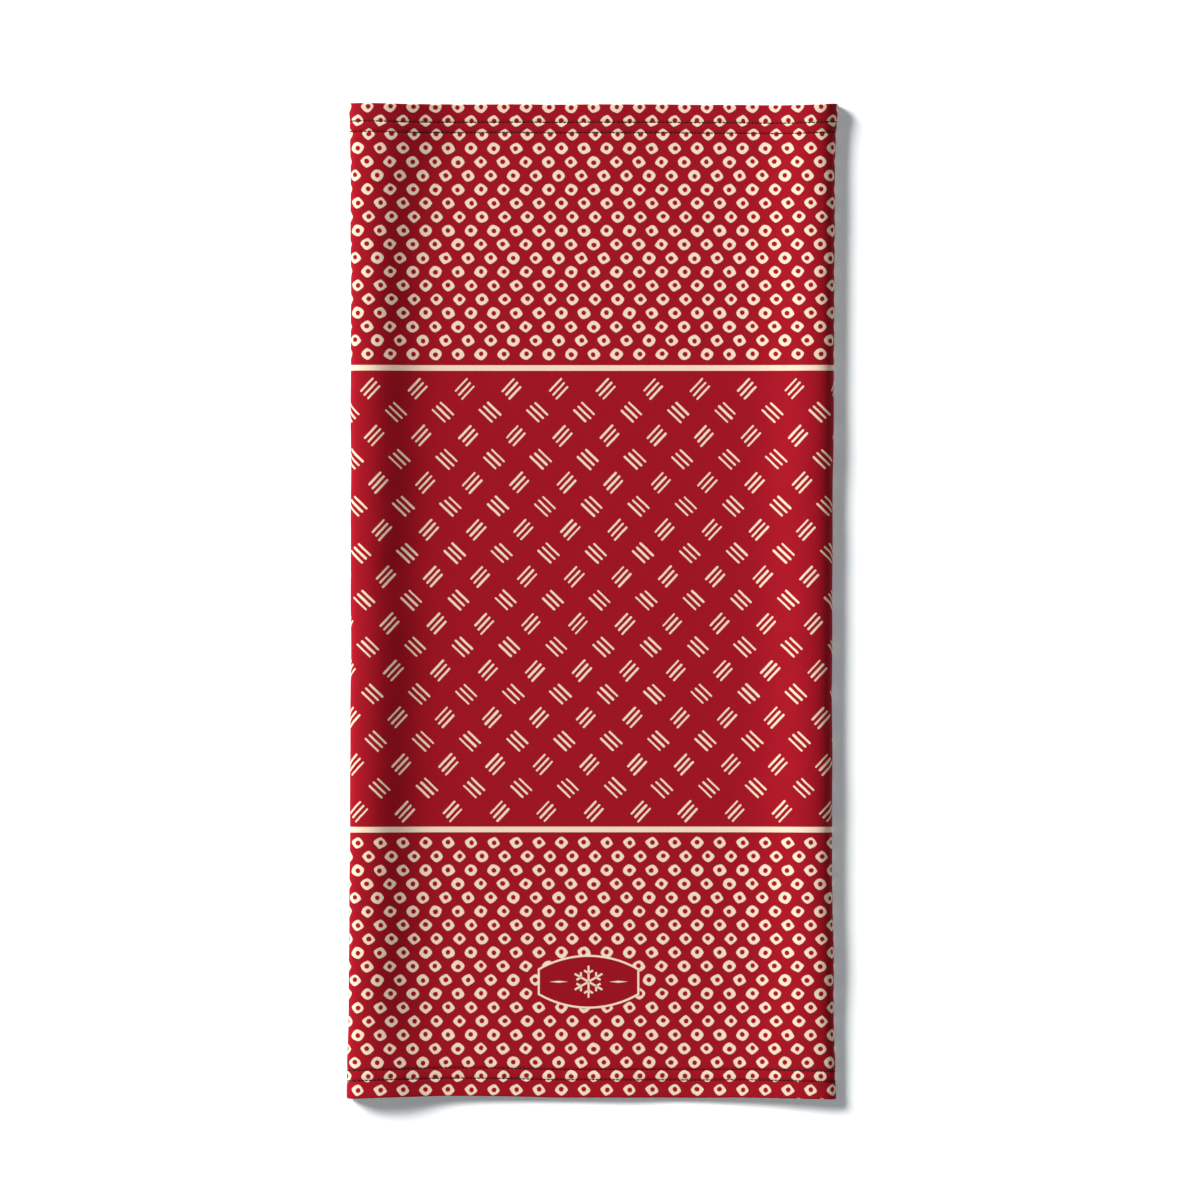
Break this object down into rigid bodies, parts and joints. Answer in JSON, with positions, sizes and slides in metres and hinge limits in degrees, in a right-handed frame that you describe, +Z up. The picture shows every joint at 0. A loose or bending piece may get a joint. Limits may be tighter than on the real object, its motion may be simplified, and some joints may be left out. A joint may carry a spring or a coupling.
{
  "type": "neck gaiter",
  "caption": "Printed knit neck gaiter lying flat: a cloth tube with a stitched hem at each end, a flat back seam and a small badge, which opens from flat to round.",
  "frame": {"origin": "middle of the lying tube's outline, on the plane that it lies on", "axes": "+X across the tube to its right edge seen from the front, +Y along it to the top hem, +Z up out of the front wall"},
  "size_m": [0.245, 0.5, 0.0135],
  "materials": {
    "printed_knit": "matte printed knit",
    "hem_thread": "matte thread",
    "seam_thread": "matte thread",
    "badge_film": "matte print"
  },
  "bodies": {
    "back_left_outer": {"back_left_outer_panel": "printed_knit", "back_left_outer_top_needle_threads": "hem_thread", "back_left_outer_top_looper_thread": "hem_thread", "back_left_outer_bottom_needle_threads": "hem_thread", "back_left_outer_bottom_looper_thread": "hem_thread"},
    "back_left_inner": {"back_left_inner_panel": "printed_knit", "back_left_inner_top_needle_threads": "hem_thread", "back_left_inner_top_looper_thread": "hem_thread", "back_left_inner_bottom_needle_threads": "hem_thread", "back_left_inner_bottom_looper_thread": "hem_thread"},
    "back_middle": {"back_middle_panel": "printed_knit", "back_middle_top_needle_threads": "hem_thread", "back_middle_top_looper_thread": "hem_thread", "back_middle_bottom_needle_threads": "hem_thread", "back_middle_bottom_looper_thread": "hem_thread", "back_seam_threads": "seam_thread"},
    "back_right_inner": {"back_right_inner_panel": "printed_knit", "back_right_inner_top_needle_threads": "hem_thread", "back_right_inner_top_looper_thread": "hem_thread", "back_right_inner_bottom_needle_threads": "hem_thread", "back_right_inner_bottom_looper_thread": "hem_thread"},
    "back_right_outer": {"back_right_outer_panel": "printed_knit", "back_right_outer_top_needle_threads": "hem_thread", "back_right_outer_top_looper_thread": "hem_thread", "back_right_outer_bottom_needle_threads": "hem_thread", "back_right_outer_bottom_looper_thread": "hem_thread"},
    "front_left_outer": {"front_left_outer_panel": "printed_knit", "front_left_outer_top_needle_threads": "hem_thread", "front_left_outer_top_looper_thread": "hem_thread", "front_left_outer_bottom_needle_threads": "hem_thread", "front_left_outer_bottom_looper_thread": "hem_thread"},
    "front_left_inner": {"front_left_inner_panel": "printed_knit", "front_left_inner_top_needle_threads": "hem_thread", "front_left_inner_top_looper_thread": "hem_thread", "front_left_inner_bottom_needle_threads": "hem_thread", "front_left_inner_bottom_looper_thread": "hem_thread"},
    "front_middle": {"front_middle_panel": "printed_knit", "front_middle_top_needle_threads": "hem_thread", "front_middle_top_looper_thread": "hem_thread", "front_middle_bottom_needle_threads": "hem_thread", "front_middle_bottom_looper_thread": "hem_thread", "badge_print": "badge_film"},
    "front_right_inner": {"front_right_inner_panel": "printed_knit", "front_right_inner_top_needle_threads": "hem_thread", "front_right_inner_top_looper_thread": "hem_thread", "front_right_inner_bottom_needle_threads": "hem_thread", "front_right_inner_bottom_looper_thread": "hem_thread"},
    "front_right_outer": {"front_right_outer_panel": "printed_knit", "front_right_outer_top_needle_threads": "hem_thread", "front_right_outer_top_looper_thread": "hem_thread", "front_right_outer_bottom_needle_threads": "hem_thread", "front_right_outer_bottom_looper_thread": "hem_thread"}
  },
  "joints": [
    {"name": "tube_opening", "type": "hinge", "parent": "back_middle", "child": "back_left_inner", "pos_m": [-0.028, 0, 0], "axis": [0, 1, 0], "range_deg": [0, 36]},
    {"name": "back_left_crease", "type": "hinge", "parent": "back_left_inner", "child": "back_left_outer", "pos_m": [-0.07525, 0, 0], "axis": [0, 1, 0], "range_deg": [0, 36]},
    {"name": "left_side_fold", "type": "hinge", "parent": "back_left_outer", "child": "front_left_outer", "pos_m": [-0.1225, 0, 0.0035], "axis": [0, 1, 0], "range_deg": [-144, 0]},
    {"name": "front_left_outer_crease", "type": "hinge", "parent": "front_left_outer", "child": "front_left_inner", "pos_m": [-0.07525, 0, 0.007], "axis": [0, 1, 0], "range_deg": [0, 36]},
    {"name": "front_left_inner_crease", "type": "hinge", "parent": "front_left_inner", "child": "front_middle", "pos_m": [-0.028, 0, 0.007], "axis": [0, 1, 0], "range_deg": [0, 36]},
    {"name": "front_right_inner_crease", "type": "hinge", "parent": "front_middle", "child": "front_right_inner", "pos_m": [0.028, 0, 0.007], "axis": [0, 1, 0], "range_deg": [0, 36]},
    {"name": "front_right_outer_crease", "type": "hinge", "parent": "front_right_inner", "child": "front_right_outer", "pos_m": [0.07525, 0, 0.007], "axis": [0, 1, 0], "range_deg": [0, 36]},
    {"name": "right_side_fold", "type": "hinge", "parent": "front_right_outer", "child": "back_right_outer", "pos_m": [0.1225, 0, 0.0035], "axis": [0, 1, 0], "range_deg": [-144, 0]},
    {"name": "back_right_crease", "type": "hinge", "parent": "back_right_outer", "child": "back_right_inner", "pos_m": [0.07525, 0, 0], "axis": [0, 1, 0], "range_deg": [0, 36]}
  ],
  "couplings": [
    {"joint": "back_left_crease", "follows": "tube_opening", "ratio": 1},
    {"joint": "left_side_fold", "follows": "tube_opening", "ratio": -4},
    {"joint": "front_left_outer_crease", "follows": "tube_opening", "ratio": 1},
    {"joint": "front_left_inner_crease", "follows": "tube_opening", "ratio": 1},
    {"joint": "front_right_inner_crease", "follows": "tube_opening", "ratio": 1},
    {"joint": "front_right_outer_crease", "follows": "tube_opening", "ratio": 1},
    {"joint": "right_side_fold", "follows": "tube_opening", "ratio": -4},
    {"joint": "back_right_crease", "follows": "tube_opening", "ratio": 1}
  ]
}
